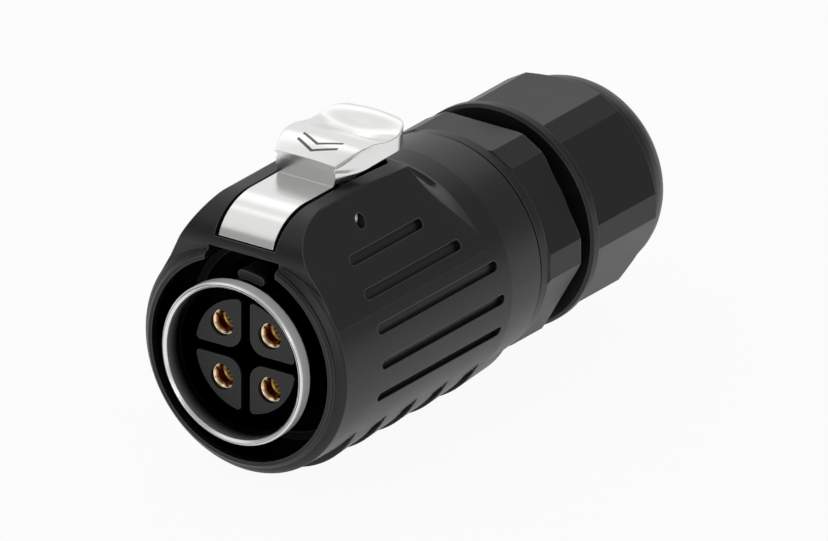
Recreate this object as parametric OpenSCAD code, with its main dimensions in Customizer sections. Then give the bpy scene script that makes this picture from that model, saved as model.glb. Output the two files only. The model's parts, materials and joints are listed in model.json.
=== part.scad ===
// Latching circular cable plug: round shell with a thumb lever, socket contacts and a cable gland.
// The plug lies along Y with its mating face towards -Y and its latch up.
// The origin is on the plug's axis, in the plane of the shell's front rim. Lengths are in millimetres.

/* [Shell] */
// Radius of the shell's round body
body_r = 17.2; // [16.8:0.1:17.6]
// Width of the shoulder between the front rim and the body
shoulder_w = 1.2; // [0.9:0.1:1.4]
// Wall of the thin front rim
rim_wall = 1; // [0.8:0.1:1.2]
// How far the front rim stands out of the shoulder
rim_step = 0.8; // [0.6:0.1:1]
// Slope of the shoulder along the axis
shoulder_rise = 0.5; // [0.3:0.1:0.7]
// Wall of the shell round its rear bore
body_wall = 2.9; // [2.5:0.1:3.2]
// Depth of the ring-shaped socket behind the front rim
socket_depth = 10.5; // [9.5:0.5:12]
// Thickness of the wall that closes the socket
bulkhead_t = 3; // [2:0.5:4]
// Length of the shell from the front rim to the rear seam
shell_length = 49; // [48:0.5:54]
// Length of the tapered neck in front of the rear seam
neck_l = 8; // [5:0.5:10]
// How far the neck tapers in towards the rear seam
neck_drop = 0.6; // [0.3:0.1:0.9]
// Rounding of small outer edges
edge_r = 0.4; // [0.2:0.1:0.5]
// Width of the keyway in the top of the front rim
keyway_w = 12; // [11:0.5:13]
// How far the keyway is cut into the rim wall
keyway_depth = 0.7; // [0.5:0.1:0.8]
// Half of the angle that the polarising key inside the socket spans
key_reach = 7; // [5:0.5:9]
// Angle of the polarising key to the right of the latch
key_turn = 7; // [4:0.5:10]
// Height of the polarising key above the sleeve
key_h = 1.35; // [1:0.05:1.6]
// Distance of the key's nose behind the front rim
key_inset = 0.6; // [0.4:0.1:1.2]

/* [Hump] */
// Rise of the hump's top above the round body
hump_rise = 4.4; // [3.8:0.1:5]
// Width across the hump's top
hump_w = 15.2; // [14.6:0.1:16]
// Rounding of the hump's long top edges
hump_edge_r = 0.9; // [0.5:0.1:1.3]
// Length of the hump's rounded front brow
brow_l = 8.4; // [7.6:0.1:9.2]
// Height of the hump's rounded front brow
brow_h = 6; // [5.6:0.1:6.4]
// Distance of the brow behind the front rim
brow_inset = 0.95; // [0.85:0.05:1.1]
// Place where the hump's top starts to fall
crown_y = 19; // [16:0.5:22]
// Fall of the hump's top towards the rear
crown_fall = 1.2; // [0.6:0.1:1.8]
// Length of the concave sweep behind the hump
sweep_l = 12; // [10:0.5:14]
// Height of the concave sweep
sweep_h = 7; // [6.4:0.1:8]
// Distance of the sweep's foot in front of the rear seam
sweep_foot = 8; // [6:0.5:10]
// Width of the finger groove across the sweep
groove_w = 2.4; // [1.6:0.1:3]
// Depth of the finger groove
groove_depth = 0.6; // [0.3:0.1:0.8]
// Half of the angle that the finger groove spans
groove_reach = 24; // [18:1:30]

/* [Grip] */
// Width of the grip slots
slot_w = 1.5; // [1.2:0.1:1.8]
// Depth of the grip slots
slot_depth = 0.75; // [0.4:0.05:1]
// Spacing of the grip slots round the girth
slot_pitch = 5.2; // [4.6:0.1:5.6]
// Place of the highest grip slot up the flank
slot_top = 6.7; // [6:0.1:7.2]
// Distance of the slots' front ends behind the front rim
slot_front = 10; // [8:0.5:12]
// Length of each grip slot, from the top one down
slot_lengths = [17.2, 22.7, 28.4, 29.2, 29.4];
// Place of the first belly rib behind the front rim
rib_front = 8.9; // [7:0.1:10]
// Spacing of the belly ribs
rib_pitch = 7.3; // [6.8:0.1:7.5]
// Number of belly ribs
rib_count = 5; // [3:1:5]
// How far the ribs' own centre lies below the axis
rib_drop = 3.6; // [3:0.1:4]
// How far the ribs stand out below the round body
rib_rise = 1.65; // [1.4:0.05:1.9]
// Fall of each rib towards its tail
rib_fall = 0.5; // [0.3:0.05:0.7]
// Width of the groove in front of each rib
rib_groove_w = 1.3; // [0.9:0.1:1.6]
// Depth of the groove below the rib's crest
rib_groove_depth = 1.1; // [0.8:0.1:1.2]
// Half of the angle that the rib grooves span about the ribs' centre
rib_reach = 56; // [48:1:60]
// Distance of the flat resting face below the round body
rest_drop = 1.1; // [0.9:0.1:1.3]

/* [Sleeve and insulator] */
// Outside radius of the metal sleeve
sleeve_r = 12; // [11.8:0.1:12.4]
// Wall of the sleeve at its mouth
sleeve_wall = 0.8; // [0.6:0.1:0.9]
// Length of the sleeve's full-width lip
lip_l = 2; // [1.8:0.1:2.4]
// Depth of the outside relief behind the lip
lip_relief = 0.2; // [0.1:0.05:0.3]
// Step inside the sleeve behind its mouth
sleeve_step = 0.3; // [0.2:0.1:0.4]
// Depth of the wide mouth inside the sleeve
sleeve_mouth = 3.3; // [3.2:0.1:3.4]
// How far the sleeve stands out of the front rim
sleeve_proud = 2; // [1.5:0.1:2.5]
// Chamfer of the sleeve's front lip
lip = 0.35; // [0.2:0.05:0.4]
// Thickness of the sleeve's rear flange
sleeve_flange_t = 2; // [1.5:0.1:2.5]
// Thickness of the face seal on the socket's floor
seal_t = 0.9; // [0.6:0.1:1.2]
// Width of the face seal along the socket's wall
seal_w = 1.15; // [0.85:0.1:1.15]
// Radius of the insulator's four sector pads
pad_r = 8.4; // [8.1:0.1:8.8]
// Width of the cross-shaped gap between the sector pads
cross_gap = 1.6; // [1.2:0.1:2]
// Rounding of the sector pads' inner corners
pad_corner_r = 2.3; // [1.8:0.1:2.6]
// Distance of the pads' faces behind the front rim
pad_inset = 1.4; // [1.35:0.05:1.6]
// Depth of the recess round the pads
pad_h = 5.8; // [5:0.2:7]
// Thickness of the insulator's flange
insulator_flange_t = 2; // [1.5:0.1:2.5]
// Thickness of the ring that clamps the insulator
retainer_t = 3.5; // [3:0.5:5]
// Width of the ring that clamps the insulator
retainer_w = 3.35; // [2.95:0.1:3.65]
// Width of the spanner notches in the clamping ring
spanner_w = 2; // [1.5:0.1:2.5]

/* [Contacts] */
// Pitch circle diameter of the contacts
contact_pcd = 11.5; // [11.1:0.1:11.7]
// Outside radius of a contact
contact_r = 1.9; // [1.85:0.05:2]
// Radius of a contact's mouth
contact_mouth_r = 1.3; // [1.2:0.05:1.35]
// Length of a contact's mouth
contact_mouth_l = 1.6; // [1.3:0.1:2]
// Radius of the countersink at a contact's front
contact_flare_r = 1.75; // [1.65:0.05:1.8]
// Depth of the countersink at a contact's front
contact_flare_l = 0.5; // [0.3:0.1:0.7]
// Radius of the bore that holds the crown spring
contact_bore_r = 1.65; // [1.6:0.05:1.7]
// Depth of a contact's bore behind its mouth
contact_bore_l = 8; // [7:0.5:9]
// Distance of a contact's front below the pad's face
contact_sink = 0.6; // [0.4:0.1:0.8]
// Radius of a contact's rear barrel
barrel_r = 2.4; // [2.2:0.1:2.5]
// Length of a contact's rear barrel
barrel_l = 18; // [15:0.5:20]
// Radius of the wire hole in the rear barrel
wire_r = 1.6; // [1.4:0.1:1.7]
// Depth of the wire hole
wire_depth = 8; // [6:0.5:9]
// Radius of a terminal screw
screw_r = 1; // [0.8:0.1:1.2]
// Distance of the terminal screws in front of the barrel's end
screw_inset = 4; // [3:0.5:5]
// Wall of the crown spring
crown_t = 0.12; // [0.1:0.01:0.14]
// How far the crown spring's waist bends in
crown_waist = 0.3; // [0.24:0.02:0.34]
// Length of the crown spring
crown_l = 6.4; // [5.6:0.2:6.8]
// Number of slits in the crown spring
crown_slits = 8; // [6:1:10]

/* [Latch] */
// Width of the latch plate
latch_w = 9.2; // [8.8:0.1:9.4]
// Gap on each side of the latch plate
latch_gap = 0.6; // [0.4:0.1:0.8]
// Thickness of the latch plate
latch_t = 1.4; // [1.2:0.1:1.6]
// How far the plate's top stands above the hump
latch_proud = 0.15; // [0.1:0.05:0.3]
// Length of the curl at the latch's front
curl_l = 8.2; // [7.8:0.1:8.6]
// Height of the curl at the latch's front
curl_h = 6; // [5.6:0.1:6.4]
// How far the curl lies behind the hump's brow
curl_sink = 0.25; // [0.15:0.05:0.4]
// Gap between the curl's foot and the front web of the shell
curl_gap = 0.15; // [0.1:0.05:0.3]
// Height of the shell's front web above the keyway
web_h = 1.4; // [1.2:0.05:1.6]
// Depth of the shell's front web along the axis
web_t = 3.4; // [3.2:0.1:3.6]
// Length of the hook along the axis
hook_l = 1.4; // [1:0.1:1.8]
// How far the hook reaches into the socket
hook_reach = 1; // [0.6:0.1:1.2]
// Room in front of and behind the hook for its swing
hook_room = 0.6; // [0.5:0.05:0.9]
// Place of the latch pin behind the front rim
pivot_y = 15.4; // [14.5:0.1:16]
// Height of the latch pin above the channel's floor
pivot_lift = 2.1; // [2:0.05:2.3]
// Radius of the latch pin
pin_r = 1; // [0.9:0.05:1.05]
// Radial clearance of the latch on its pin
pin_play = 0.06; // [0.03:0.01:0.09]
// Distance of the pin's ends inside the flanks
pin_sink = 1.1; // [0.8:0.1:1.4]
// Radius of the boss round the pin
boss_r = 1.8; // [1.6:0.1:1.9]
// Thickness of the channel's floor above the rear bore
floor_t = 1.6; // [1.5:0.05:1.7]
// Length of the channel behind the front web
channel_l = 25.45; // [25.2:0.05:26.4]
// Chamfer of the channel's rear corners
channel_corner = 1.6; // [1:0.1:2.2]
// Distance of the return spring behind the pin
spring_y = 8.6; // [8:0.1:9]
// Radius of the return spring's coil
coil_r = 2.1; // [1.8:0.1:2.4]
// Radius of the return spring's wire
wire_spring_r = 0.3; // [0.2:0.05:0.35]
// Turns of the return spring
coil_turns = 6; // [4:1:7]
// Radius of the pegs that centre the spring
peg_r = 1.4; // [1:0.1:1.4]
// Height of the pegs that centre the spring
peg_h = 1.3; // [0.8:0.1:1.6]

/* [Thumb pad] */
// Place of the thumb pad's front face behind the front rim
thumb_y = 15.8; // [15.6:0.1:16.4]
// Length of the thumb pad
thumb_l = 16.4; // [15:0.2:17]
// Height of the pad's ledge above the plate
thumb_lift = 1.4; // [1.3:0.05:1.7]
// Rise of the ledge towards the pad's front and its tip
ledge_rise = 0.7; // [0.4:0.1:0.9]
// Height of the pad's front edge above the ledge
thumb_t = 1.7; // [1.5:0.1:2]
// Rise of the pad's crest above its front edge
thumb_crest = 1.5; // [1:0.1:2]
// Distance of the crest behind the pad's front
crest_l = 5.25; // [4.5:0.25:6]
// Fall of the pad's rim behind the crest
thumb_fall = 0.8; // [0.5:0.1:1]
// Distance of the crease across the top behind the pad's front
thumb_crease = 10.9; // [10:0.1:11.5]
// Depth of the crease below the rim
thumb_dish = 1; // [0.6:0.1:1.2]
// Rise of the pad's tip
tip_lift = 0.9; // [0.6:0.1:1.2]
// Length over which the tip rises and its corners are rounded
tip_l = 4.4; // [4:0.1:5]
// How much narrower the pad is at its tip, on each side
tip_in = 3.2; // [2.6:0.1:3.6]
// Crown across the pad's top
thumb_crown = 0.2; // [0.1:0.05:0.4]
// Hollow of the pad's sides
thumb_hollow = 0.3; // [0.1:0.05:0.4]
// Width of the pad at its front edge
thumb_front_w = 10.4; // [9.8:0.1:10.8]
// Greatest width of the pad
thumb_w = 13.6; // [12.6:0.1:14.2]
// Length over which the pad widens
flare_l = 5.9; // [5:0.1:7]
// Step from the pad's rim in to its ledge
ledge_step = 0.15; // [0.1:0.05:0.2]
// Height of the rounded underside below the ledge at the pad's front
hull_h = 1.7; // [1.4:0.1:1.7]
// Height of the rounded underside at the pad's tip
hull_tip = 0.12; // [0.1:0.02:0.2]
// Room round the return spring in the pad's underside
pocket_room = 0.3; // [0.2:0.05:0.4]

/* [Rear body] */
// Length of the spigot inside the shell
spigot_l = 9; // [8:0.5:10]
// Length of the round collar behind the seam
collar_l = 2.4; // [2:0.1:3]
// Step from the shell's neck down to the round collar
seam_step = 0.3; // [0.1:0.1:0.6]
// Length of the hexagon behind the collar
hex_l = 7.1; // [6:0.1:8]
// Radius to the hexagon's cut corners
hex_corner_r = 16.6; // [16.4:0.1:17]
// Half of the angle that each cut corner spans
corner_cut = 6.5; // [5:0.5:8]
// Radius of the gland thread
thread_r = 13; // [12.6:0.1:13.2]
// Depth of the gland thread
thread_h = 0.45; // [0.3:0.05:0.6]
// Wall of the threaded tube, with the thread
thread_wall = 2.4; // [2:0.1:2.6]
// Thickness of the inner seat for the clamp
seat_t = 1.5; // [1:0.1:2]
// Width of the inner seat for the clamp
seat_w = 1.8; // [1.2:0.1:2]
// Wall of the spigot round the wire chamber
spigot_wall = 2.95; // [2.65:0.1:3.45]
// Radius of the sealing ring's cord
ring_cord_r = 0.75; // [0.6:0.05:0.8]
// Distance of the sealing ring in front of the seam
ring_inset = 2; // [1.5:0.1:3]

/* [Gland] */
// Open gap between the hexagon and the gland nut
nut_gap = 2.7; // [2.6:0.1:3.2]
// Length of the gland nut
nut_l = 22.8; // [22:0.1:23.5]
// Step from the hexagon's corners down to the nut's round front flange
flange_step = 0.1; // [0.1:0.1:0.4]
// Length of the nut's round front flange
nut_flange_l = 1.5; // [1:0.1:2]
// Length of the slope behind the flange
nut_slope_l = 1.9; // [1.5:0.1:2.4]
// Radius to the nut's cut corners
nut_corner_r = 15.9; // [15.7:0.1:16.1]
// Length of the round dome behind the nut's flats
nut_dome_l = 5.5; // [4.5:0.1:6]
// Radius of the nut's rear rim
nut_rim_r = 10.6; // [10:0.1:11.2]
// Radial clearance of the nut on the gland thread
thread_play = 0.2; // [0.1:0.05:0.3]
// Depth of the nut's threaded bore
nut_bore_l = 13.8; // [13:0.1:15]
// Radius of the cable hole in the nut
cable_hole_r = 7.3; // [7:0.1:7.8]
// Thickness of the thrust washer
washer_t = 1.2; // [0.8:0.1:1.4]
// Room left between the thrust washer and the thread's end when the nut is home
stop_room = 0.3; // [0.2:0.1:0.5]
// Wall of the clamp's fingers
claw_wall = 2.2; // [1.8:0.1:2.4]
// Number of slits in the clamp
claw_slits = 6; // [4:1:8]
// Width of the slits in the clamp
slit_w = 1; // [0.8:0.1:1.3]
// Length of the clamp's solid ring
claw_ring_l = 3; // [2:0.5:4]
// Radius of the cable hole through the rubber grommet
cable_r = 6; // [5.5:0.1:6.3]

/* [Hidden] */
$fn = 64;
// Radial slip between pieces that are pushed together and stay together
slip = 0.05;
// How far a cutter runs past the face it opens
past = 1;
// How far the flanks sink into the round body, so that the two faces cross
flank_sink = 0.03;
// How fast the thumb pad's rounded underside runs out towards the tip
hull_taper = 2.5;
// Straight steps across the thumb pad's top, and down each stretch of its walls
top_steps = 16;
wall_steps = 4;
// Straight steps in a quarter of a small and of a large rounded outline
quarter_steps = 8;
brow_steps = 20;

// Radii that follow from the shell
rim_r = body_r - shoulder_w;
socket_r = rim_r - rim_wall;
bore_r = body_r - body_wall;
neck_r = body_r - neck_drop;
keyway_z = socket_r + keyway_depth;
hump_top = body_r + hump_rise;
rib_r = body_r - rib_drop + rib_rise;
rest_depth = body_r + rest_drop;
retainer_bore_r = bore_r - slip - retainer_w;
// Inside and outside of the polarising key
key_inner = sleeve_r + 2 * slip;
key_outer = key_inner + key_h;
// Stations along the axis
bulkhead_y = socket_depth + bulkhead_t;
sleeve_end_y = bulkhead_y + sleeve_flange_t;
insulator_end_y = sleeve_end_y + insulator_flange_t;
retainer_end_y = insulator_end_y + retainer_t;
collar_y = shell_length + collar_l;
hex_end_y = collar_y + hex_l;
seat_y = hex_end_y + seat_t;
nut_y = hex_end_y + nut_gap;
nut_stop_y = nut_y + nut_bore_l;
nut_end_y = nut_y + nut_l;
washer_y = nut_stop_y - washer_t;
thread_end_y = washer_y - nut_gap - stop_room;
pad_base_y = pad_inset + pad_h;
contact_y = pad_inset + contact_sink;
barrel_y = socket_depth + bulkhead_t / 2;
barrel_end_y = barrel_y + barrel_l;
contact_offset = contact_pcd / 2 / sqrt(2);
contact_signs = [[-1, 1], [1, 1], [1, -1], [-1, -1]];
// Flanks: planes that leave the round body and reach the hump's top edges
flank_r = body_r - flank_sink;
hump_corner = [hump_w / 2, hump_top];
flank_angle = atan2(hump_corner[1], hump_corner[0]) - acos(flank_r / norm(hump_corner));
flank_out = [cos(flank_angle), sin(flank_angle)];
flank_up = [-sin(flank_angle), cos(flank_angle)];
// Latch heights
latch_top = hump_top + latch_proud;
floor_z = bore_r + floor_t;
pivot_z = floor_z + pivot_lift;
web_top = keyway_z + web_h;
web_y = brow_inset + web_t;
curl_foot = web_top + curl_gap;
hook_z = socket_r - hook_reach;
hook_y = web_y + hook_room;
latch_y = brow_inset + curl_sink;
latch_half = latch_w / 2;
channel_half = latch_half + latch_gap;
channel_end_y = web_y + channel_l;
thumb_under = latch_top + thumb_lift;
thumb_front_top = thumb_under + thumb_t;
hull_lip = thumb_front_w / 2 - ledge_step - latch_half;
spring_top = thumb_under - slip;
// Radii of the rear body and the gland
spigot_r = bore_r - slip;
chamber_r = spigot_r - spigot_wall;
ring_groove = 2 * ring_cord_r;
collar_r = neck_r - seam_step;
nut_flange_r = hex_corner_r - flange_step;
seat_r = thread_r - thread_wall;
claw_r = seat_r - slip;
claw_bore_r = claw_r - claw_wall;
washer_r = thread_r - slip;

function turn_point(c, r, a) = [c[0] + r * cos(a), c[1] + r * sin(a)];
// Stretch of an upright oval with half axes p and q, and of a circle
function oval(c, p, q, a0, a1, steps) =
    [for (i = [0:steps]) let (a = a0 + (a1 - a0) * i / steps) [c[0] + p * cos(a), c[1] + q * sin(a)]];
function arc(c, r, a0, a1, steps) = oval(c, r, r, a0, a1, steps);
function mirrored(p) = [for (i = [len(p) - 1:-1:0]) [-p[i][0], p[i][1]]];
// Six flats with cut corners, flats facing up and down
function hex_outline(r, cut) = [for (i = [0:5]) for (s = [-1, 1]) turn_point([0, 0], r, 60 * i + s * cut)];
// Long rounded slot along the first axis, starting at zero
function slot_outline(l, w) = concat(arc([l - w / 2, 0], w / 2, -90, 90, quarter_steps),
    arc([w / 2, 0], w / 2, 90, 270, quarter_steps));
function ease(t) = t * t * (3 - 2 * t);

// Revolves an outline of [radius, y] points about the plug's axis
module turned(points) {
    rotate([-90, 0, 0]) rotate_extrude() polygon(points);
}

// Cylinder along the axis from y0 to y1
module rod(r, y0, y1, x = 0, z = 0) {
    translate([x, y0, z]) rotate([-90, 0, 0]) cylinder(r = r, h = y1 - y0);
}

// Outline in X and Z, carried along the axis from y0 to y1
module along(points, y0, y1) {
    translate([0, y1, 0]) rotate([90, 0, 0]) linear_extrude(y1 - y0) polygon(points);
}

// Outline in Y and Z, carried across X over a width
module across(points, w) {
    translate([-w / 2, 0, 0]) rotate([90, 0, 90]) linear_extrude(w) polygon(points);
}

// Box from one corner to the other
module block(a, b) {
    translate(a) cube(b - a);
}

// Round body of the shell with its rim, shoulder and tapered neck
module shell_body() {
    turned([[0, 0], [rim_r - edge_r, 0], [rim_r, edge_r], [rim_r, rim_step],
        [body_r - edge_r, rim_step + shoulder_rise], [body_r, rim_step + shoulder_rise + edge_r],
        [body_r, shell_length - neck_l], [neck_r, shell_length - edge_r],
        [neck_r - edge_r, shell_length], [0, shell_length]]);
}

// Section of the hump: flat top, rounded edges and leaning flanks that sink into the body
function hump_section() =
    let (c = hump_corner - hump_edge_r * [tan(45 - flank_angle / 2), 1],
        foot = flank_r * flank_out - shoulder_w * flank_up,
        half = concat([foot], arc(c, hump_edge_r, flank_angle, 90, quarter_steps)))
    concat(half, mirrored(half));

// Side view of the hump: foot behind the shoulder, rounded brow, level crown and a slow fall
function hump_side() =
    let (foot_y = rim_step + shoulder_rise + edge_r)
    concat([[foot_y, 0], [foot_y, hump_top - 1.6 * brow_h]],
        oval([brow_inset + brow_l, hump_top - brow_h], brow_l, brow_h, 180, 90, brow_steps),
        [[crown_y, hump_top], [shell_length - sweep_foot, hump_top - crown_fall],
        [shell_length - sweep_foot, 0]]);

// Radius of the concave sweep at a place along the axis
function sweep_at(y) =
    let (d = max(0, shell_length - sweep_foot - y))
    body_r - edge_r + sweep_h * (1 - sqrt(max(0, 1 - pow(d / sweep_l, 2))));

// Limit of the hump: a concave sweep about the axis that runs out on the neck
function sweep_limit() =
    let (foot_y = shell_length - sweep_foot)
    concat([[0, 0], [body_r + sweep_h, 0]],
        [for (i = [0:brow_steps]) let (y = foot_y - sweep_l * cos(90 * i / brow_steps)) [sweep_at(y), y]],
        [[0, foot_y]]);

module hump() {
    intersection() {
        along(hump_section(), 0, shell_length);
        across(hump_side(), 4 * body_r);
        turned(sweep_limit());
    }
}

// Ribs under the body, highest at the bottom and running out on the flanks
module belly_ribs() {
    translate([0, 0, -rib_drop]) for (i = [0:rib_count - 1]) {
        y = rib_front + i * rib_pitch;
        turned([[0, y], [rib_r, y], [rib_r - rib_fall, y + rib_pitch], [0, y + rib_pitch]]);
    }
}

// Grooves in front of the ribs, with round ends
module rib_grooves() {
    translate([0, 0, -rib_drop]) for (i = [0:rib_count - 1]) {
        y = rib_front + i * rib_pitch - rib_groove_w / 2 + slip;
        inner = rib_r - rib_groove_depth;
        rotate([0, 90 - rib_reach, 0]) translate([0, y, 0]) rotate([-90, 0, 0])
            rotate_extrude(angle = 2 * rib_reach) translate([inner, -rib_groove_w / 2])
            square([3 * rib_groove_depth, rib_groove_w]);
        for (s = [-1, 1]) rotate([0, s * rib_reach, 0]) translate([0, y, -inner])
            rotate([180, 0, 0]) cylinder(d = rib_groove_w, h = 3 * rib_groove_depth);
    }
}

// One grip slot at a girth place: on the flat flank above zero, round the body below it
module grip_slot(girth, l) {
    a = girth > 0 ? flank_angle : flank_angle + girth / body_r * 180 / PI;
    up = max(girth, 0);
    rotate([0, -a, 0]) translate([body_r - slot_depth, slot_front, up]) rotate([90, 0, 90])
        linear_extrude(slot_depth + past) polygon(slot_outline(l, slot_w));
}

module grip_slots() {
    for (s = [0, 1]) mirror([s, 0, 0]) for (i = [0:len(slot_lengths) - 1])
        grip_slot(slot_top - i * slot_pitch, slot_lengths[i]);
}

// Finger groove across the sweep behind the thumb pad
module finger_groove() {
    y = shell_length - sweep_foot - sweep_l / 2 + groove_w / 4;
    // Radius of the round cutter whose chord is the groove
    cutter_r = (pow(groove_w / 2, 2) + pow(groove_depth, 2)) / (2 * groove_depth);
    centre_r = sweep_at(y) - groove_depth + cutter_r;
    rotate([0, -90 - groove_reach, 0]) translate([0, y, 0]) rotate([-90, 0, 0])
        rotate_extrude(angle = 2 * groove_reach) translate([centre_r, 0]) circle(cutter_r);
    for (s = [-1, 1]) rotate([0, s * groove_reach, 0]) translate([0, y, centre_r]) sphere(cutter_r);
}

// Channel for the latch, with the window that its hook reaches through
module latch_channel() {
    corner_y = channel_end_y - channel_corner;
    plan = [[-channel_half, web_y], [channel_half, web_y], [channel_half, corner_y],
        [channel_half - channel_corner, channel_end_y], [channel_corner - channel_half, channel_end_y],
        [-channel_half, corner_y]];
    difference() {
        translate([0, 0, floor_z]) linear_extrude(hump_top) polygon(plan);
        translate([0, pivot_y + spring_y, floor_z - past]) cylinder(r = peg_r, h = peg_h + past);
    }
    block([-channel_half, web_y, sleeve_r], [channel_half, hook_y + hook_l + hook_room, floor_z + past]);
    block([-channel_half, -past, web_top], [channel_half, hook_y, hump_top + past]);
}

// Notch for the mating half in the front rim and under the front web
module keyway() {
    block([-keyway_w / 2, -past, 0], [keyway_w / 2, hook_y, keyway_z]);
    block([-keyway_w / 2, -past, 0], [keyway_w / 2, brow_inset, hump_top]);
}

// Outline of the polarising key: part of a ring about the axis, with round ends
function key_outline() =
    let (mid = (key_inner + key_outer) / 2, low = 90 - key_reach, high = 90 + key_reach)
    concat(arc([0, 0], key_outer, low, high, quarter_steps),
        arc(turn_point([0, 0], mid, high), key_h / 2, high, high + 180, quarter_steps),
        arc([0, 0], key_inner, high, low, quarter_steps),
        arc(turn_point([0, 0], mid, low), key_h / 2, low - 180, low, quarter_steps));

// Polarising key that stands out of the socket's floor above the sleeve
module polarising_key() {
    rotate([0, key_turn, 0]) along(key_outline(), key_inset, socket_depth + bulkhead_t / 2);
}

// Outside of the shell, cut level underneath so that the plug lies with its latch up
module shell_blank() {
    difference() {
        union() {
            shell_body();
            hump();
            belly_ribs();
        }
        block([-2 * body_r, -past, -2 * body_r], [2 * body_r, shell_length + past, -rest_depth]);
    }
}

module shell() {
    color("#2b2b2c") union() {
        difference() {
            shell_blank();
            rod(socket_r, -past, socket_depth);
            rod(sleeve_r + slip, 0, shell_length);
            rod(bore_r, bulkhead_y, shell_length + past);
            keyway();
            latch_channel();
            translate([-2 * body_r, pivot_y, pivot_z]) rotate([0, 90, 0]) cylinder(r = pin_r, h = 4 * body_r);
            grip_slots();
            rib_grooves();
            finger_groove();
        }
        polarising_key();
    }
}

module coupling_sleeve() {
    mouth_r = sleeve_r - sleeve_wall;
    inner_r = mouth_r - sleeve_step;
    front = -sleeve_proud;
    mouth_end = front + sleeve_mouth;
    lip_end = front + lip_l;
    relief_r = sleeve_r - lip_relief;
    relief_end = socket_depth - past;
    color("#d3d3d1") turned([[mouth_r, front + lip], [mouth_r + lip, front], [sleeve_r - lip, front],
        [sleeve_r, front + lip], [sleeve_r, lip_end], [relief_r, lip_end + lip_relief],
        [relief_r, relief_end - lip_relief], [sleeve_r, relief_end], [sleeve_r, bulkhead_y],
        [bore_r - slip, bulkhead_y], [bore_r - slip, sleeve_end_y], [inner_r, sleeve_end_y],
        [inner_r, mouth_end], [mouth_r, mouth_end]]);
}

module face_seal() {
    color("#1a1a1a") difference() {
        rod(socket_r - slip, socket_depth - seal_t, socket_depth);
        rod(max(socket_r - slip - seal_w, key_outer + slip), 0, bulkhead_y);
    }
}

// One sector pad between the arms of the cross-shaped gap
function sector_pad() =
    let (g = cross_gap / 2, c = g + pad_corner_r, a = asin(g / pad_r), cut = asin((g + edge_r) / pad_r))
    concat(arc([c, c], pad_corner_r, 270, 180, quarter_steps), [[g, pad_r * cos(a) - edge_r]],
        arc([0, 0], pad_r, 90 - cut, cut, 2 * quarter_steps), [[pad_r * cos(a) - edge_r, g]]);

module insulator() {
    body = sleeve_r - sleeve_wall - sleeve_step - slip;
    boss = retainer_bore_r - slip;
    color("#1f1f20") difference() {
        union() {
            turned([[0, pad_base_y], [body, pad_base_y], [body, sleeve_end_y], [bore_r - slip, sleeve_end_y],
                [bore_r - slip, insulator_end_y], [boss, insulator_end_y], [boss, retainer_end_y],
                [0, retainer_end_y]]);
            for (i = [0:3]) rotate([0, 90 * i, 0]) along(sector_pad(), pad_inset, pad_base_y + past);
        }
        for (s = contact_signs) {
            rod(contact_r + slip, 0, barrel_y + past, s[0] * contact_offset, s[1] * contact_offset);
            rod(barrel_r + slip, barrel_y, retainer_end_y + past,
                s[0] * contact_offset, s[1] * contact_offset);
        }
    }
}

module insulator_retainer() {
    color("#2f2f30") difference() {
        rod(bore_r - slip, insulator_end_y, retainer_end_y);
        rod(retainer_bore_r, insulator_end_y - past, retainer_end_y + past);
        block([-body_r, retainer_end_y - retainer_t / 2, -spanner_w / 2],
            [body_r, retainer_end_y + past, spanner_w / 2]);
    }
}

module at_contact(i) {
    translate([contact_signs[i][0] * contact_offset, 0, contact_signs[i][1] * contact_offset]) children();
}

// Points a terminal screw outwards from the plug's axis
module at_screw(i) {
    rotate([0, -atan2(contact_signs[i][1], contact_signs[i][0]), 0])
        translate([0, barrel_end_y - screw_inset, 0]) rotate([0, 90, 0]) children();
}

module socket_contact(i) {
    mouth_end = contact_y + contact_mouth_l;
    flare = contact_flare_r - contact_mouth_r;
    color("#c8a14a") at_contact(i) difference() {
        union() {
            rod(contact_r, contact_y, barrel_y + past);
            rod(barrel_r, barrel_y, barrel_end_y);
        }
        rod(contact_mouth_r, contact_y - past, mouth_end + past);
        translate([0, contact_y - contact_flare_l, 0]) rotate([-90, 0, 0])
            cylinder(r1 = contact_flare_r + flare, r2 = contact_mouth_r - flare, h = 3 * contact_flare_l);
        rod(contact_bore_r, mouth_end, mouth_end + contact_bore_l);
        rod(wire_r, barrel_end_y - wire_depth, barrel_end_y + past);
        at_screw(i) cylinder(r = screw_r, h = barrel_r + past);
    }
}

// Waisted band of slit spring metal inside a contact
module crown_spring(i) {
    outer = contact_bore_r - slip / 2;
    y0 = contact_y + contact_mouth_l + (contact_bore_l - crown_l) / 2;
    y1 = y0 + crown_l;
    band = crown_l / 8;
    waist = outer - crown_waist;
    color("#d9b45a") at_contact(i) difference() {
        turned([[outer, y0], [outer, y0 + band], [waist, (y0 + y1) / 2], [outer, y1 - band], [outer, y1],
            [outer - crown_t, y1], [outer - crown_t, y1 - band], [waist - crown_t, (y0 + y1) / 2],
            [outer - crown_t, y0 + band], [outer - crown_t, y0]]);
        for (k = [0:crown_slits - 1]) rotate([0, 360 * (k + 0.5) / crown_slits, 0])
            block([0, y0 + band, -crown_t], [outer + past, y1 - band, crown_t]);
    }
}

module terminal_screws() {
    head = barrel_r - slip;
    color("#b9b9b6") for (i = [0:3]) at_contact(i) at_screw(i) difference() {
        translate([0, 0, wire_r / 2]) cylinder(r = screw_r - slip / 2, h = head - wire_r / 2);
        translate([-screw_r, -screw_r / 6, head - screw_r / 2]) cube([2 * screw_r, screw_r / 3, screw_r]);
    }
}

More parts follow.
